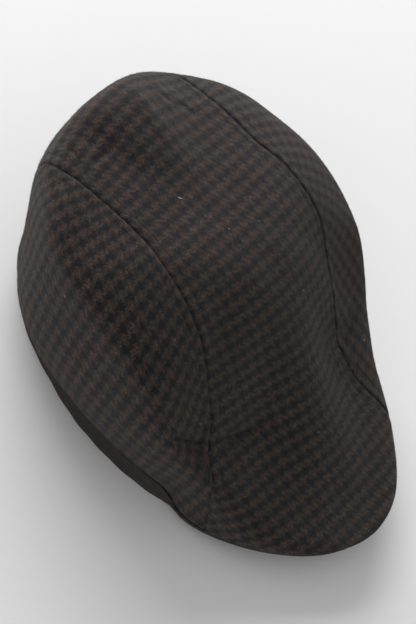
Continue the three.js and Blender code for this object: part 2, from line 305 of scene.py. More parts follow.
# How far the cloth hangs out over the band, by the angle from the front, in millimetres
OVERHANG_ANGLES = [0, 55, 68, 78, 88, 105, 116, 126, 136, 146, 160, 180]
OVERHANG = [0, 0, 0.3, 0.9, 1.1, 1.1, 1.1, 1.2, 1.8, 3.0, 4.6, 4.6]
OVERHANG_SHARE = 0.035
OVERHANG_SAG = 0.45


def crown_point(angle, share):
    """The outside of the cloth, with the folds of the solids and its overhang at the band."""
    push = fold_height(angle, share)
    turn = np.degrees(np.abs(wrap(angle)))
    out = MM * np.interp(turn, OVERHANG_ANGLES, OVERHANG)
    level = share / OVERHANG_SHARE
    out = out * level * np.exp(1 - level)
    hang = np.stack([out * np.sin(angle), -out * np.cos(angle), -OVERHANG_SAG * out], -1)
    return smooth_point(angle, share) + surface_normal(angle, share) * push[..., None] + hang


# How far the wearer's left seam has slipped forwards over the peak, at each mark of the seam
LEFT_SLIP = np.array([17, 20, 20.5, 16, 10.5, 5.5, 1.5, 0, 0, 0, 0, 0, 0, 0, 0, 0])
SEAM_STEPS = 3000
seam_parts = np.linspace(0, 1, SEAM_STEPS + 1)


def seam_marks(side):
    """The seam of one side at even steps of its real length, as turns from the front and shares."""
    turn = SEAM[:, 0] - (LEFT_SLIP if side > 0 else 0)
    rough = catmull(np.column_stack([np.radians(turn), SEAM[:, 1]]), 2 * SEAM_STEPS)
    rough[:, 1] = np.maximum(rough[:, 1], 0)
    length = length_along(crown_point(side * rough[:, 0], rough[:, 1]))
    even = np.linspace(0, length[-1], SEAM_STEPS + 1)
    return np.interp(even, length, rough[:, 0]), np.interp(even, length, rough[:, 1])


seam_turn, seam_share = {}, {}
for seam_side in (-1, 1):
    seam_turn[seam_side], seam_share[seam_side] = seam_marks(seam_side)


def seam_line(side):
    """The seam of one side as points on the cloth."""
    return crown_point(side * seam_turn[side], seam_share[side])


def distance_to(points, line):
    """Distance of each point to a line of points, and how far along the line it is."""
    tree = KDTree(len(line))
    for number, place in enumerate(line):
        tree.insert(place, number)
    tree.balance()
    found = [tree.find(place) for place in points.reshape(-1, 3)]
    shape = points.shape[:-1]
    distance = np.array([hit[2] for hit in found]).reshape(shape)
    nearest = np.array([hit[1] for hit in found]).reshape(shape)
    return distance, length_along(line)[nearest]


# Sewing: how a seam, its topstitching and a turned edge shape the cloth
SEAM_DEPTH = 0.85 * MM
SEAM_WIDTH = 0.75 * MM
RIDGE_HEIGHT = 0.16 * MM
RIDGE_OFFSET = 2.9 * MM
RIDGE_WIDTH = 1.7 * MM
STITCH_OFFSET = 5.6 * MM
STITCH_PITCH = 3.1 * MM
STITCH_LENGTH = 2.3 * MM
STITCH_RADIUS = 0.17 * MM
STITCH_START = 8 * MM
STITCH_SINK = 0.16
STITCH_RISE = 0.34
DIP_DEPTH = 0.17 * MM
DIP_WIDTH = 0.8 * MM
DIP_CHANGE = 0.25
PUCKER_HEIGHT = 0.10 * MM
PUCKER_REACH = 9 * MM
PUCKER_STITCHES = 3.7
TUCK_DEPTH = 0.9 * MM
TUCK_WIDTH = 1.3 * MM


def seam_relief(distance, along):
    """A groove at the seam, a soft ridge over its allowance and a dip along the stitching."""
    groove = -SEAM_DEPTH * np.exp(-(distance / SEAM_WIDTH) ** 2)
    ridge = RIDGE_HEIGHT * np.exp(-((distance - RIDGE_OFFSET) / RIDGE_WIDTH) ** 2)
    pull = 1 - DIP_CHANGE + DIP_CHANGE * np.cos(2 * math.pi * along / STITCH_PITCH)
    dip = -DIP_DEPTH * pull * np.exp(-((distance - STITCH_OFFSET) / DIP_WIDTH) ** 2)
    pucker = PUCKER_HEIGHT * np.sin(2 * math.pi * along / (PUCKER_STITCHES * STITCH_PITCH))
    return groove + ridge + dip + pucker * np.exp(-(distance / PUCKER_REACH) ** 2)


# Sharp creases that the solids leave out, at the waist on the right and high on the back:
# a line of angle and share, then depth and width in millimetres
CREASES = [
    ([(-28, 0.485), (-35, 0.473), (-42, 0.462), (-50, 0.437), (-55, 0.425)], 1.5, 1.7),
    ([(-55, 0.425), (-61, 0.388), (-66, 0.355), (-70, 0.29), (-72, 0.24)], 1.6, 1.9),
    ([(-168, 0.66), (-160, 0.645), (-153, 0.60)], 1.0, 2.6),
    ([(-157, 0.53), (-155, 0.57), (-150, 0.585)], 0.9, 2.4),
    ([(168, 0.60), (160, 0.66), (150, 0.70)], 0.7, 3.2),
]
CREASE_STEPS = 400
CREASE_SHARPNESS = 1.6
CREASE_ENDS = (0.02, 0.98)
# The lip beside a crease: its height by the crease's depth, its place and width by the crease's width
LIP_HEIGHT = 0.35
LIP_PLACE = 1.7
LIP_WIDTH = 1.2


def crease_relief(points):
    """How far the creases sink the cloth, and lift it beside them."""
    relief = np.zeros(points.shape[:-1])
    for marks, depth, width in CREASES:
        curve = catmull(marks, CREASE_STEPS)
        line = crown_point(np.radians(curve[:, 0]), curve[:, 1])
        distance, along = distance_to(points, line)
        total = length_along(line)[-1]
        fade = np.sqrt(np.sin(math.pi * np.clip(along / total, *CREASE_ENDS)))
        cut = -depth * MM * np.exp(-(distance / (width * MM / CREASE_SHARPNESS)) ** 2)
        beside = (distance - LIP_PLACE * width * MM) / (LIP_WIDTH * width * MM)
        lip = LIP_HEIGHT * depth * MM * np.exp(-beside ** 2)
        relief += (cut + lip) * fade
    return relief


# Long ripples: a height in millimetres, then two crossing waves, each a way and a start
RIPPLES = [
    (0.22, ((118, 61, 0), 0.7), ((0, -74, 97), 1.9)),
    (0.13, ((0, 233, -171), 2.3), ((205, 0, 130), 0)),
]


def waves(points):
    """Small unevenness of steamed wool, a sum of fixed long ripples."""
    total = np.zeros(points.shape[:-1])
    for height, (way, start), (other_way, other_start) in RIPPLES:
        first = np.sin(points @ np.array(way) + start)
        second = np.sin(points @ np.array(other_way) + other_start)
        total += height * MM * first * second
    return total


def grid_faces(rows, columns, start=0):
    """The faces of a grid of points, which are numbered from start on."""
    index = start + np.arange(rows * columns).reshape(rows, columns)
    return np.stack([index[:-1, :-1], index[:-1, 1:], index[1:, 1:], index[1:, :-1]], -1).reshape(-1, 4)


def new_mesh(name, points, faces, uv):
    """A smooth mesh piece, with the cloth's grain coordinates."""
    mesh = bpy.data.meshes.new(name)
    mesh.from_pydata(points.tolist(), [], faces if isinstance(faces, list) else faces.tolist())
    mesh.validate()
    mesh.shade_smooth()
    layer = mesh.uv_layers.new(name="grain")
    loops = np.zeros(len(mesh.loops), int)
    mesh.loops.foreach_get("vertex_index", loops)
    layer.data.foreach_set("uv", uv[loops].astype(np.float32).ravel())
    piece = bpy.data.objects.new(name, mesh)
    bpy.context.scene.collection.objects.link(piece)
    return piece


def rim_of(index):
    """The numbers round the edge of a grid."""
    return np.concatenate([index[0, :-1], index[:-1, -1], index[-1, :0:-1], index[:0:-1, 0]])


def shell(name, outer, inner, uv):
    """A wall of cloth, closed round its edge. Its inner face has half as many rows and columns."""
    rows, columns = outer.shape[:2]
    inner, inner_uv = inner[::2, ::2], uv[::2, ::2]
    count = rows * columns
    fine = rim_of(np.arange(count).reshape(rows, columns))
    coarse = rim_of(count + np.arange(inner.shape[0] * inner.shape[1]).reshape(inner.shape[:2]))
    front = grid_faces(rows, columns)
    back = grid_faces(*inner.shape[:2], count)[:, ::-1]
    edge = np.stack([
        np.roll(fine, -2)[::2], fine[1::2], fine[::2], coarse, np.roll(coarse, -1),
    ], -1)
    points = np.concatenate([outer.reshape(-1, 3), inner.reshape(-1, 3)])
    both = np.concatenate([uv.reshape(-1, 2), inner_uv.reshape(-1, 2)])
    return new_mesh(name, points, front.tolist() + back.tolist() + edge.tolist(), both)


def drawn_length(grid):
    """The length of all the rows and columns of a grid of points."""
    return sum(np.linalg.norm(np.diff(grid, axis=axis), axis=-1).sum() for axis in (0, 1))


FLATTEN_ROUNDS = 40


def flatten(angle, share, grain_turn):
    """The cloth's flat pattern, in metres for a coarse grid, unwrapped with little stretch."""
    points = crown_point(angle, share)
    rows, columns = angle.shape
    blank = np.zeros((rows * columns, 2))
    piece = new_mesh("flat_pattern", points.reshape(-1, 3), grid_faces(rows, columns), blank)
    bpy.context.view_layer.objects.active = piece
    piece.select_set(True)
    bpy.ops.object.mode_set(mode="EDIT")
    bpy.ops.mesh.select_all(action="SELECT")
    bpy.ops.uv.unwrap(method="MINIMUM_STRETCH", iterations=FLATTEN_ROUNDS, margin=0.0)
    bpy.ops.object.mode_set(mode="OBJECT")
    mesh = piece.data
    loops = np.zeros(len(mesh.loops), int)
    mesh.loops.foreach_get("vertex_index", loops)
    flat = np.zeros(len(loops) * 2, np.float32)
    mesh.uv_layers["grain"].data.foreach_get("uv", flat)
    uv = np.zeros((rows * columns, 2))
    uv[loops] = flat.reshape(-1, 2)
    uv = uv.reshape(rows, columns, 2)
    bpy.data.objects.remove(piece)
    bpy.data.meshes.remove(mesh)
    uv = (uv - uv[rows // 2, columns // 2]) * drawn_length(points) / drawn_length(uv)
    middle = columns // 2
    way = uv[rows * 3 // 4, middle] - uv[rows // 4, middle]
    turn = math.pi / 2 - math.atan2(way[1], way[0]) + math.radians(grain_turn)
    c, s = math.cos(turn), math.sin(turn)
    return uv @ np.array([[c, s], [-s, c]])


def spread(count, crowding):
    """Numbers from 0 to 1 that crowd towards both ends."""
    even = np.linspace(0, 1, count)
    return (1 - crowding) * even + crowding * (1 - np.cos(math.pi * even)) / 2


def resample(coarse, row_parts, column_parts):
    """A coarse, even grid of values read at the rows and columns of a fine one."""
    u = row_parts * (coarse.shape[0] - 1)
    v = column_parts * (coarse.shape[1] - 1)
    i = np.minimum(u.astype(int), coarse.shape[0] - 2)
    j = np.minimum(v.astype(int), coarse.shape[1] - 2)
    s, t = (u - i)[:, None, None], (v - j)[None, :, None]
    return (
        coarse[i][:, j] * (1 - s) * (1 - t) + coarse[i + 1][:, j] * s * (1 - t)
        + coarse[i][:, j + 1] * (1 - s) * t + coarse[i + 1][:, j + 1] * s * t
    )


# Grids of the panels, rows by columns: the fine one and the coarse one that is laid flat
TOP_GRID = (301, 201)
TOP_CROWDING = (0.2, 0.6)
TOP_FLAT_GRID = (73, 41)
SIDE_GRID = (141, 281)
SIDE_CROWDING = 0.6
SIDE_FLAT_GRID = (29, 61)
SIDE_ENDS = (0.004, 0.996)
SIDE_GRAIN_TURN = 79
CENTRE_STEPS = 400


def even_parts(counts):
    """For each count, that many even steps from 0 to 1."""
    return [np.linspace(0, 1, count) for count in counts]


def top_places(part, across_part):
    """Angle and share over the top panel, row by row from the peak's rim to the back."""
    rise = np.linspace(0, 1, CENTRE_STEPS)
    line_share = np.concatenate([rise, rise[-2::-1]])
    line_angle = np.concatenate([np.zeros(CENTRE_STEPS), np.full(CENTRE_STEPS - 1, math.pi)])
    length = length_along(smooth_point(line_angle, line_share))
    line_place = np.where(line_angle > 0, 1 - line_share, line_share - 1)
    centre = np.interp(part, length / length[-1], line_place)[:, None]
    across = (2 * across_part - 1)[None]
    x, y = np.zeros((len(part), len(across_part))), np.zeros((len(part), len(across_part)))
    for side in (-1, 1):
        angle = np.interp(part, seam_parts, seam_turn[side])[:, None]
        radius = 1 - np.interp(part, seam_parts, seam_share[side])[:, None]
        open_angle = lerp(seam_turn[side][0], math.pi - seam_turn[side][-1], part)[:, None]
        bow = (1 - np.cos(open_angle * across)) / (1 - np.cos(open_angle))
        half_x = radius * np.sin(angle) * np.sin(open_angle * across) / np.sin(open_angle)
        half_y = centre + (-radius * np.cos(angle) - centre) * bow
        here = (across * side >= 0) & np.ones_like(x, bool)
        x, y = np.where(here, half_x, x), np.where(here, half_y, y)
    away = np.hypot(x, y)
    return np.arctan2(x, -y), np.clip(1 - away, 0, 1)


def make_top():
    """The top panel's cloth, its outer grid and its grain coordinates."""
    rows, columns = (spread(*pair) for pair in zip(TOP_GRID, TOP_CROWDING))
    angle, share = top_places(rows, columns)
    uv = resample(flatten(*top_places(*even_parts(TOP_FLAT_GRID)), 0), rows, columns)
    points = crown_point(angle, share)
    normal = grid_normals(points)
    left, left_along = distance_to(points, seam_line(1))
    right, right_along = distance_to(points, seam_line(-1))
    relief = seam_relief(np.minimum(left, right), np.where(left < right, left_along, right_along))
    relief += crease_relief(points) + waves(points)
    outer = points + normal * relief[..., None]
    inner = points - normal * CLOTH
    return shell("crown_top_cloth", outer, inner, uv), outer, uv


def side_places(row_parts, column_parts, side):
    """Angle and share over a side panel, row by row from its foot to the seam."""
    part = lerp(*SIDE_ENDS, column_parts)
    top_angle = np.interp(part, seam_parts, seam_turn[side])
    top_share = np.interp(part, seam_parts, seam_share[side])
    foot_angle = lerp(seam_turn[side][0], seam_turn[side][-1], part)
    up = row_parts[:, None]
    return side * lerp(foot_angle, top_angle, up), top_share * up


def make_side(name, side, grain_turn):
    """A side panel's cloth, its outer grid and its grain coordinates."""
    rows, columns = spread(SIDE_GRID[0], SIDE_CROWDING), np.linspace(0, 1, SIDE_GRID[1])
    angle, share = side_places(rows, columns, side)
    coarse = side_places(*even_parts(SIDE_FLAT_GRID), side)
    uv = resample(flatten(*coarse, grain_turn), rows, columns)
    points = crown_point(angle, share)
    normal = grid_normals(points) * side
    line = seam_line(side)
    distance, along = distance_to(points, line)
    foot_turn = np.linspace(seam_turn[side][0], seam_turn[side][-1], SEAM_STEPS)
    foot_distance, _along = distance_to(points, smooth_point(side * foot_turn, np.zeros(SEAM_STEPS)))
    relief = seam_relief(distance, along) + crease_relief(points) + waves(points)
    relief -= TUCK_DEPTH * np.exp(-(foot_distance / TUCK_WIDTH) ** 2)
    outer = points + normal * relief[..., None]
    inner = points - normal * CLOTH
    if side < 0:
        outer, inner, uv = outer[:, ::-1], inner[:, ::-1], uv[:, ::-1]
    return shell(name, outer, inner, uv), outer, uv


top, top_outer, top_uv = make_top()
right, right_outer, right_uv = make_side("side_cloth_right", -1, SIDE_GRAIN_TURN)
left, left_outer, left_uv = make_side("side_cloth_left", 1, -SIDE_GRAIN_TURN)


# The nap's fibres: lift in degrees, length in millimetres, half width and depth of the root
NAP_LIFT = (8, 42)
NAP_LENGTH = (0.6, 1.9)
NAP_HALF_WIDTH = 0.042 * MM
NAP_ROOT = 0.1 * MM


def make_nap(name, outer, uv, count, seed):
    """Brushed fibres that lie over the cloth, each a sliver of its own in the colour below it."""
    chance = np.random.default_rng(seed)
    down, across = outer[1:, :-1] - outer[:-1, :-1], outer[:-1, 1:] - outer[:-1, :-1]
    facing = np.cross(across, down)
    area = np.linalg.norm(facing, axis=-1)
    facing = facing / np.maximum(area[..., None], TINY)
    picked = chance.choice(area.size, count, p=(area / area.sum()).ravel())
    row, column = np.unravel_index(picked, area.shape)
    s, t = chance.random((2, count, 1))
    root = outer[row, column] + down[row, column] * s + across[row, column] * t
    root_uv = lerp(uv[row, column], uv[row + 1, column], s) + (uv[row, column + 1] - uv[row, column]) * t
    normal = facing[row, column]
    along = unit(across[row, column])
    aside = np.cross(normal, along)
    turn = chance.uniform(0, 2 * math.pi, (count, 1))
    lift = np.radians(chance.uniform(*NAP_LIFT, (count, 1)))
    length = MM * chance.uniform(*NAP_LENGTH, (count, 1))
    way = (along * np.cos(turn) + aside * np.sin(turn)) * np.cos(lift) + normal * np.sin(lift)
    first = unit(np.cross(way, normal))
    second = np.cross(way, first)
    corners = []
    for third in range(3):
        a = 2 * math.pi * third / 3
        offset = NAP_HALF_WIDTH * (first * math.cos(a) + second * math.sin(a))
        corners.append(root - way * NAP_ROOT + offset)
    points = np.stack([*corners, root + way * length], 1).reshape(-1, 3)
    start = 4 * np.arange(count)[:, None, None]
    faces = (start + np.array([[0, 1, 3], [1, 2, 3], [2, 0, 3], [0, 2, 1]])[None]).reshape(-1, 3)
    return new_mesh(name, points, faces, np.repeat(root_uv, 4, axis=0))


naps = [
    make_nap("nap_top", top_outer, top_uv, 46000, 11),
    make_nap("nap_side_right", right_outer, right_uv, 22000, 12),
    make_nap("nap_side_left", left_outer, left_uv, 22000, 13),
]


def tree_of(piece):
    """The piece's faces, ready to be searched."""
    mesh = piece.data
    return BVHTree.FromPolygons([v.co for v in mesh.vertices], [f.vertices for f in mesh.polygons])


trees = {"top": tree_of(top), 1: tree_of(left), -1: tree_of(right)}


TUBE_SIDES = 6


def tube(path, normals, radii):
    """Points and faces of a closed tube along a path, with its own radius at each point."""
    path, normals = np.asarray(path), np.asarray(normals)
    ways = np.gradient(path, axis=0)
    ways /= np.linalg.norm(ways, axis=-1, keepdims=True)
    aside = np.cross(ways, normals)
    aside /= np.linalg.norm(aside, axis=-1, keepdims=True)
    above = np.cross(aside, ways)
    points, faces = [], []
    for k in range(len(path)):
        for side in range(TUBE_SIDES):
            a = 2 * math.pi * side / TUBE_SIDES
            points.append(path[k] + radii[k] * (aside[k] * math.cos(a) + above[k] * math.sin(a)))
    last = (len(path) - 1) * TUBE_SIDES
    for ring in range(0, last, TUBE_SIDES):
        for side in range(TUBE_SIDES):
            here, after = ring + side, ring + (side + 1) % TUBE_SIDES
            faces.append((here, after, after + TUBE_SIDES, here + TUBE_SIDES))
    faces.append(tuple(range(TUBE_SIDES))[::-1])
    faces.append(tuple(last + k for k in range(TUBE_SIDES)))
    return points, faces


def point_at(line, length, at):
    """The value of a line of points or directions at a length along it."""
    return np.array([np.interp(at, length, line[:, k]) for k in range(3)])


def make_stitches():
    """Topstitching on both sides of both seams, each stitch a thread that dips in at its ends."""
    points, faces = [], []
    for side in (-1, 1):
        line = seam_line(side)
        facing = surface_normal(side * seam_turn[side], seam_share[side])
        length = length_along(line)
        for panel, away in (("top", -side), (side, side)):
            count = int((length[-1] - 2 * STITCH_START) / STITCH_PITCH)
            for number in range(count):
                start = STITCH_START + number * STITCH_PITCH
                path, normals = [], []
                for part in (0, 0.25, 0.5, 0.75, 1):
                    at = start + part * STITCH_LENGTH
                    here = point_at(line, length, at)
                    ahead = point_at(line, length, at + MM)
                    over = np.cross(ahead - here, point_at(facing, length, at))
                    over /= np.linalg.norm(over)
                    guess = here + over * STITCH_OFFSET * away * -side
                    found, normal, _face, _far = trees[panel].find_nearest(Vector(guess))
                    rise = (-STITCH_SINK + STITCH_RISE * math.sin(math.pi * part)) * MM
                    path.append(np.array(found + normal * rise))
                    normals.append(np.array(normal))
                made, made_faces = tube(path, normals, [STITCH_RADIUS] * 5)
                faces += [tuple(len(points) + k for k in face) for face in made_faces]
                points += made
    return new_mesh("topstitching", np.array(points), faces, np.zeros((len(points), 2)))


stitches = make_stitches()

# Lint caught in the wool: where it shows in the photograph, its length and radius in millimetres,
# its direction in degrees and its colour
LINT = [
    (180, 198, 2.6, 0.36, 20, "pale"),
    (229, 229, 1.0, 0.16, 110, "pale"),
    (259, 221, 0.9, 0.14, 40, "pale"),
    (303, 290, 0.9, 0.14, 75, "pale"),
    (364, 340, 1.3, 0.20, 60, "pale"),
    (223, 229, 1.0, 0.16, 150, "orange"),
    (215, 353, 1.1, 0.17, 30, "red"),
    (318, 432, 0.8, 0.13, 100, "pale"),
    (65, 296, 0.8, 0.13, 10, "pale"),
    (188, 443, 0.9, 0.14, 50, "pale"),
    (200, 424, 0.9, 0.14, 80, "pale"),
    (175, 340, 0.8, 0.13, 15, "pale"),
]
LINT_COLOURS = {"pale": (0.50, 0.47, 0.40), "orange": (0.32, 0.13, 0.05), "red": (0.28, 0.04, 0.03)}
LINT_BOW = 0.25
LINT_LIFT = 0.6
LINT_THICKEST = 1.05
LINT_TAPER = 1.6


def cloth_at(pixel_x, pixel_y):
    """The place on the cloth that shows at a pixel of the photograph, and its normal."""
    eye = TARGET + back * DISTANCE
    across = (pixel_x - TARGET_PIXEL[0]) / (PIXELS_PER_METRE * DISTANCE)
    down = (pixel_y - TARGET_PIXEL[1]) / (PIXELS_PER_METRE * DISTANCE)
    way = (image_right * across - image_up * down - back).normalized()
    hits = [tree.ray_cast(eye, way) for tree in trees.values()]
    hits = [hit for hit in hits if hit[0] is not None]
    place, normal, _face, _far = min(hits, key=lambda hit: hit[3])
    return place, normal if normal.dot(way) < 0 else -normal


def make_lint(colour):
    """Short bent fibres of one colour that lie on the cloth."""
    points, faces = [], []
    for pixel_x, pixel_y, length, radius, turn, named in LINT:
        if named != colour:
            continue
        place, normal = cloth_at(pixel_x, pixel_y)
        along = normal.cross(Vector((0, 0, 1))).normalized()
        aside = normal.cross(along)
        way = along * math.cos(math.radians(turn)) + aside * math.sin(math.radians(turn))
        bend = normal.cross(way)
        path, normals, radii = [], [], []
        for part in (-0.5, -0.3, -0.1, 0.1, 0.3, 0.5):
            bow = LINT_BOW * length * (0.25 - part * part)
            offset = way * length * part + bend * bow + normal * radius * LINT_LIFT
            path.append(np.array(place + MM * offset))
            normals.append(np.array(normal))
            radii.append(MM * radius * (LINT_THICKEST - LINT_TAPER * abs(part)))
        made, made_faces = tube(path, normals, radii)
        faces += [tuple(len(points) + k for k in face) for face in made_faces]
        points += made
    return new_mesh("lint_" + colour, np.array(points), faces, np.zeros((len(points), 2)))


lint = {colour: make_lint(colour) for colour in LINT_COLOURS}


# How far the band and the board reach into the edge of the cloth that is sewn to them
SEWN_LAP = 0.25 * MM
# How far the band's foot leans in under the cloth, by the angle from the front, in millimetres
BAND_INSET_ANGLES = [0, 45, 55, 65, 85, 105, 125, 145, 180]
BAND_INSET = [0.5, 2.6, 2.8, 2.2, 0.9, 0.9, 2.1, 0.3, 0.5]
BAND_STEPS = 420
BAND_RING_STEPS = 28
# The powers that round the strip's section, across and up
BAND_ROUNDING = (0.55, 0.35)
BAND_RIPPLE = 0.25 * MM
BAND_RIPPLES_ROUND = 31
BAND_RIPPLE_LEAN = 5
BAND_INSIDE_GRAIN = 0.02


def make_band():
    """The head band, a folded strip with rounded edges, from its foot to just inside the cloth."""
    angle = np.linspace(0, 2 * math.pi, BAND_STEPS, endpoint=False)
    turn = np.abs(wrap(angle))
    edge_height = cloth_edge(np.maximum(turn - BAND_LEAD, 0))[1]
    top_height = np.minimum(BAND_HEIGHT + GAP, edge_height) + SEWN_LAP
    reach = opening_reach(angle)
    half = BAND_WALL / 2
    ring = []
    for k in range(BAND_RING_STEPS):
        a = 2 * math.pi * k / BAND_RING_STEPS
        pairs = zip((math.cos(a), math.sin(a)), BAND_ROUNDING)
        ring.append([math.copysign(abs(value) ** power, value) for value, power in pairs])
    points, uv = [], []
    length = length_along(np.column_stack([reach * np.sin(angle), reach * np.cos(angle)]))
    inset = MM * np.interp(np.degrees(turn), BAND_INSET_ANGLES, BAND_INSET)
    for out, up in ring:
        height = top_height * (up + 1) / 2
        away = reach - half + half * out - inset * (1 - up) / 2
        ripple = np.sin(BAND_RIPPLES_ROUND * angle + BAND_RIPPLE_LEAN * up)
        away = away + BAND_RIPPLE * ripple * np.clip(out, 0, 1)
        points.append(np.column_stack([away * np.sin(angle), -away * np.cos(angle), height]) + HEAD_MIDDLE)
        uv.append(np.column_stack([length, height + (BAND_INSIDE_GRAIN if out < 0 else 0)]))
    points = np.stack(points)
    uv = np.stack(uv)
    points[..., 2] = np.maximum(points[..., 2], 0)
    count, around = points.shape[:2]
    index = np.arange(count * around).reshape(count, around)
    after = np.roll(index, -1, 1)
    faces = np.stack([index, after, np.roll(after, -1, 0), np.roll(index, -1, 0)], -1)
    return new_mesh("head_band_cloth", points.reshape(-1, 3), faces.reshape(-1, 4), uv.reshape(-1, 2))


PEAK_GRID = (37, 161)


def make_peak():
    """The peak's board and its under cover."""
    rows, columns = PEAK_GRID
    half_angle = peak_corner_angle - BOARD_END
    angle = np.linspace(-half_angle, half_angle, columns)
    edge_reach, edge_height = cloth_edge(angle)
    zero = np.zeros_like(angle)
    rim = crown_point(angle, zero)
    normal = surface_normal(angle, zero)
    rim_height = np.minimum(rim[:, 2], (rim - normal * CLOTH)[:, 2]) + SEWN_LAP
    inner_height = peak_corner_height - GAP + PEAK_INNER_ARCH * (edge_height - peak_corner_height)
    part = np.linspace(0, 1, rows)[:, None]
    start = opening_reach(angle) + GAP
    end = edge_reach - PEAK_EDGE_INSET
    reach = lerp(start, end, part)
    height = lerp(inner_height, rim_height, part)
    upper = np.stack([reach * np.sin(angle), -reach * np.cos(angle), height], -1) + HEAD_MIDDLE
    lower = upper.copy()
    lower[..., 2] -= PEAK_THICKNESS
    uv = np.stack([upper[..., 0], upper[..., 1]], -1)
    return shell("peak_under_cover", upper[:, ::-1], lower[:, ::-1], uv[:, ::-1])


band = make_band()
peak = make_peak()

# The check: its repeat, the threads in a repeat, and how far each tone departs from the even wool
CHECK_REPEAT = 7.3 * MM
THREADS = 8
WARP_STRENGTH = 0.5
FUZZ_SCALE = 2.4
FUZZ_SHIFT = 9.5
FIBRE_SCALE = 1.25
FIBRE_TONE = 3.2
NAP_SCALE = 0.9
NAP_TONE = 4.2
DARKEST_TONE = 0.15
PATCH_SCALE = 0.035
PATCH_TONE = 0.5
THREAD_RELIEF = 0.35
BUMP_STRENGTH = 0.6
BUMP_DEPTH = 0.5 * MM
BLOTCH_SCALE = 0.33
BLOTCH = 2.2
# The light yarn is spun from rose and from tan wool
SECOND_YARN = (0.92, 1.12, 0.90)
YARN_SPREAD = 3.0


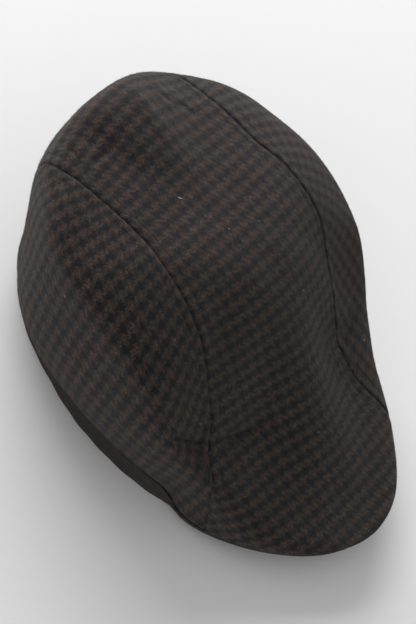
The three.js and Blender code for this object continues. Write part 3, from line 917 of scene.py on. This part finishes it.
def fabric(name, light, dark, contrast):
    """Brushed wool in a small dogtooth check, woven from the grain coordinates."""
    material = bpy.data.materials.new(name)
    material.use_nodes = True
    tree = material.node_tree
    nodes, links = tree.nodes, tree.links
    nodes.clear()

    def noise(scale, detail, roughness=0.5):
        """Noise over the cloth, measured in threads."""
        made = nodes.new("ShaderNodeTexNoise")
        made.inputs["Scale"].default_value = scale
        made.inputs["Detail"].default_value = detail
        made.inputs["Roughness"].default_value = roughness
        links.new(scaled.outputs[0], made.inputs["Vector"])
        return made

    def math_node(operation, first, second=None, third=None):
        """One step of arithmetic on numbers and the outputs of nodes."""
        made = nodes.new("ShaderNodeMath")
        made.operation = operation
        for socket, value in zip(made.inputs, (first, second, third)):
            if value is None:
                continue
            if isinstance(value, (int, float)):
                socket.default_value = value
            else:
                links.new(value, socket)
        return made.outputs[0]

    output = nodes.new("ShaderNodeOutputMaterial")
    shader = nodes.new("ShaderNodeBsdfPrincipled")
    shader.inputs["Roughness"].default_value = 0.95
    shader.inputs["Specular IOR Level"].default_value = 0.09
    shader.inputs["Sheen Weight"].default_value = 0.165
    shader.inputs["Sheen Roughness"].default_value = 0.55
    shader.inputs["Sheen Tint"].default_value = (0.75, 0.72, 0.72, 1)
    links.new(shader.outputs[0], output.inputs[0])

    place = nodes.new("ShaderNodeUVMap")
    place.uv_map = "grain"
    scaled = nodes.new("ShaderNodeVectorMath")
    scaled.operation = "SCALE"
    scaled.inputs["Scale"].default_value = THREADS / CHECK_REPEAT
    links.new(place.outputs[0], scaled.inputs[0])

    fuzz = noise(FUZZ_SCALE, 3, 0.7)
    shift = nodes.new("ShaderNodeVectorMath")
    shift.operation = "MULTIPLY_ADD"
    shift.inputs[1].default_value = (FUZZ_SHIFT, FUZZ_SHIFT, 0)
    shift.inputs[2].default_value = (-FUZZ_SHIFT / 2, -FUZZ_SHIFT / 2, 0)
    links.new(fuzz.outputs["Color"], shift.inputs[0])
    moved = nodes.new("ShaderNodeVectorMath")
    moved.operation = "ADD"
    links.new(scaled.outputs[0], moved.inputs[0])
    links.new(shift.outputs[0], moved.inputs[1])
    split = nodes.new("ShaderNodeSeparateXYZ")
    links.new(moved.outputs[0], split.inputs[0])

    # Four light threads and four dark ones each way, woven over two and under two
    light_warp, light_weft = (
        math_node("LESS_THAN", math_node("FLOORED_MODULO", split.outputs[axis], THREADS), THREADS / 2)
        for axis in (0, 1)
    )
    diagonal = math_node("ADD", math_node("FLOOR", split.outputs[0]), math_node("FLOOR", split.outputs[1]))
    over = math_node("LESS_THAN", math_node("FLOORED_MODULO", diagonal, THREADS / 2), THREADS / 4)
    under = math_node("SUBTRACT", 1.0, over)
    warp_part = math_node("MULTIPLY", math_node("MULTIPLY", light_warp, over), WARP_STRENGTH)
    check = math_node("ADD", warp_part, math_node("MULTIPLY", light_weft, under))

    nap = noise(NAP_SCALE, 6, 0.8)
    patch = noise(PATCH_SCALE, 3)
    blotch = noise(BLOTCH_SCALE, 2)
    uneven = math_node("MULTIPLY_ADD", blotch.outputs["Fac"], BLOTCH, 1 - BLOTCH / 2)
    faded = math_node("MULTIPLY", math_node("MULTIPLY", check, contrast), uneven)
    level = math_node("ADD", faded, (1 - contrast) / 2)
    mix = nodes.new("ShaderNodeMix")
    mix.data_type = "RGBA"
    links.new(level, mix.inputs["Factor"])
    # The node has a pair of inputs for each kind of value, and 6 and 7 are its colours
    mix.inputs[6].default_value = (*dark, 1)
    yarn = nodes.new("ShaderNodeMix")
    yarn.data_type = "RGBA"
    yarn.inputs[6].default_value = (*light, 1)
    yarn.inputs[7].default_value = (*(value * change for value, change in zip(light, SECOND_YARN)), 1)
    yarn_part = math_node("MULTIPLY_ADD", fuzz.outputs["Fac"], YARN_SPREAD, 0.5 - YARN_SPREAD / 2)
    links.new(yarn_part, yarn.inputs["Factor"])
    links.new(yarn.outputs[2], mix.inputs[7])

    fibre = noise(FIBRE_SCALE, 2, 0.6)
    nap_tone = math_node("MULTIPLY", math_node("SUBTRACT", nap.outputs["Fac"], 0.5), NAP_TONE)
    fibre_tone = math_node("MULTIPLY", math_node("SUBTRACT", fibre.outputs["Fac"], 0.5), FIBRE_TONE)
    tone = math_node("ADD", math_node("ADD", nap_tone, fibre_tone), 1.0)
    tone = math_node("MAXIMUM", tone, DARKEST_TONE)
    patchy = math_node("ADD", math_node("MULTIPLY", patch.outputs["Fac"], PATCH_TONE), 1 - PATCH_TONE / 2)
    strength = math_node("MULTIPLY", tone, patchy)
    shade = nodes.new("ShaderNodeVectorMath")
    shade.operation = "SCALE"
    links.new(mix.outputs[2], shade.inputs[0])
    links.new(strength, shade.inputs["Scale"])
    links.new(shade.outputs[0], shader.inputs["Base Color"])

    # Thread relief: rounded threads, lifted where they pass over, under a fuzzy nap
    ridge = math_node("ABSOLUTE", math_node("SINE", math_node("MULTIPLY", split.outputs[0], math.pi)))
    rib = math_node("ABSOLUTE", math_node("SINE", math_node("MULTIPLY", split.outputs[1], math.pi)))
    weave = math_node("ADD", math_node("MULTIPLY", ridge, over), math_node("MULTIPLY", rib, under))
    height = math_node("ADD", math_node("MULTIPLY", weave, THREAD_RELIEF), nap.outputs["Fac"])
    bump = nodes.new("ShaderNodeBump")
    bump.inputs["Strength"].default_value = BUMP_STRENGTH
    bump.inputs["Distance"].default_value = BUMP_DEPTH
    links.new(height, bump.inputs["Height"])
    links.new(bump.outputs[0], shader.inputs["Normal"])
    return material


LIGHT_WOOL = (0.080, 0.050, 0.042)
DARK_WOOL = (0.0055, 0.0086, 0.0105)
# The band's two tones are the crown's check made darker: painted shade for the band under the overhanging
# cloth, also used on the peak's under cover
BAND_LIGHT_TONE_PAINTED_SHADE = (0.030, 0.021, 0.018)
BAND_DARK_TONE_PAINTED_SHADE = (0.009, 0.0094, 0.0098)
THREAD_COLOUR = (0.016, 0.015, 0.015)
CROWN_CONTRAST = 0.92
BAND_CONTRAST = 0.6
crown_wool = fabric("crown_wool_check", LIGHT_WOOL, DARK_WOOL, CROWN_CONTRAST)
# The darker copy of the check, with painted shade in its colours, for the band and the peak
band_wool = fabric("band_check_in_painted_shade", BAND_LIGHT_TONE_PAINTED_SHADE, BAND_DARK_TONE_PAINTED_SHADE, BAND_CONTRAST)

for piece, material, slot, node_name in (
    (top, crown_wool, "crown_wool", "crown_top_panel"),
    (right, crown_wool, "crown_wool", "side_panel_right"),
    (left, crown_wool, "crown_wool", "side_panel_left"),
    (band, band_wool, "band_wool", "head_band"),
    (peak, band_wool, "band_wool", "peak"),
):
    piece.data.materials.append(material)
    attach(piece, "root")
    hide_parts(node_name)


def plain_material(name, colour, roughness):
    """A material of one colour, and its shader."""
    material = bpy.data.materials.new(name)
    material.use_nodes = True
    shader = material.node_tree.nodes["Principled BSDF"]
    shader.inputs["Base Color"].default_value = (*colour, 1)
    shader.inputs["Roughness"].default_value = roughness
    return material, shader


thread, _shader = plain_material("thread", THREAD_COLOUR, 0.7)
fibres = []
for colour, piece in lint.items():
    fibre, _shader = plain_material("fibre_" + colour, LINT_COLOURS[colour], 0.9)
    fibres.append((piece, fibre))
for piece, material in ((stitches, thread), *((nap, crown_wool) for nap in naps), *fibres):
    piece.data.materials.append(material)
    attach(piece, "root")

# Floor, light and camera
FLOOR_HALF = 6.0
FLOOR_DROP = 0.2 * MM
FLOOR_COLOUR = (0.9, 0.9, 0.9)
STUDIO_LIGHT = 0.40
SENSOR_WIDTH = 36
corner_signs = ((-1, -1), (1, -1), (1, 1), (-1, 1))
floor_mesh = bpy.data.meshes.new("floor")
floor_mesh.from_pydata([(x * FLOOR_HALF, y * FLOOR_HALF, 0) for x, y in corner_signs], [], [(0, 1, 2, 3)])
floor = bpy.data.objects.new("floor", floor_mesh)
bpy.context.scene.collection.objects.link(floor)
floor.location.z = -FLOOR_DROP
floor_paint, floor_shader = plain_material("floor_paint", FLOOR_COLOUR, 0.9)
floor_shader.inputs["Specular IOR Level"].default_value = 0.1
floor_mesh.materials.append(floor_paint)

world = bpy.data.worlds.new("studio")
bpy.context.scene.world = world
world.use_nodes = True
background = world.node_tree.nodes["Background"]
background.inputs["Color"].default_value = (1, 1, 1, 1)
background.inputs["Strength"].default_value = STUDIO_LIGHT
bpy.context.scene.view_settings.view_transform = "Standard"


def area_light(name, place, aim, size, power):
    """A square soft light at a place, turned to what it lights."""
    lamp = bpy.data.lights.new(name, "AREA")
    lamp.shape = "SQUARE"
    lamp.size = size
    lamp.energy = power
    holder = bpy.data.objects.new(name, lamp)
    bpy.context.scene.collection.objects.link(holder)
    holder.location = place
    holder.rotation_mode = "QUATERNION"
    holder.rotation_quaternion = (Vector(aim) - Vector(place)).to_track_quat("-Z", "Y")


area_light("window", (1.25, 1.85, 0.6), (0, 0, 0.05), 2.4, 118)
area_light("fill", (-1.9, 0.1, 0.9), (0, 0, 0.05), 2.0, 9)

camera_data = bpy.data.cameras.new("camera")
camera = bpy.data.objects.new("camera", camera_data)
bpy.context.scene.collection.objects.link(camera)
camera.matrix_world = Matrix((image_right, image_up, back)).transposed().to_4x4()
camera.location = TARGET + back * DISTANCE
camera_data.sensor_fit = "AUTO"
camera_data.sensor_width = SENSOR_WIDTH
camera_data.lens = PIXELS_PER_METRE * DISTANCE * SENSOR_WIDTH / IMAGE[1]
camera_data.shift_x = (IMAGE[0] / 2 - TARGET_PIXEL[0]) / IMAGE[1]
camera_data.shift_y = (TARGET_PIXEL[1] - IMAGE[1] / 2) / IMAGE[1]
camera_data.clip_start = 0.05
camera_data.clip_end = 50
bpy.context.scene.camera = camera
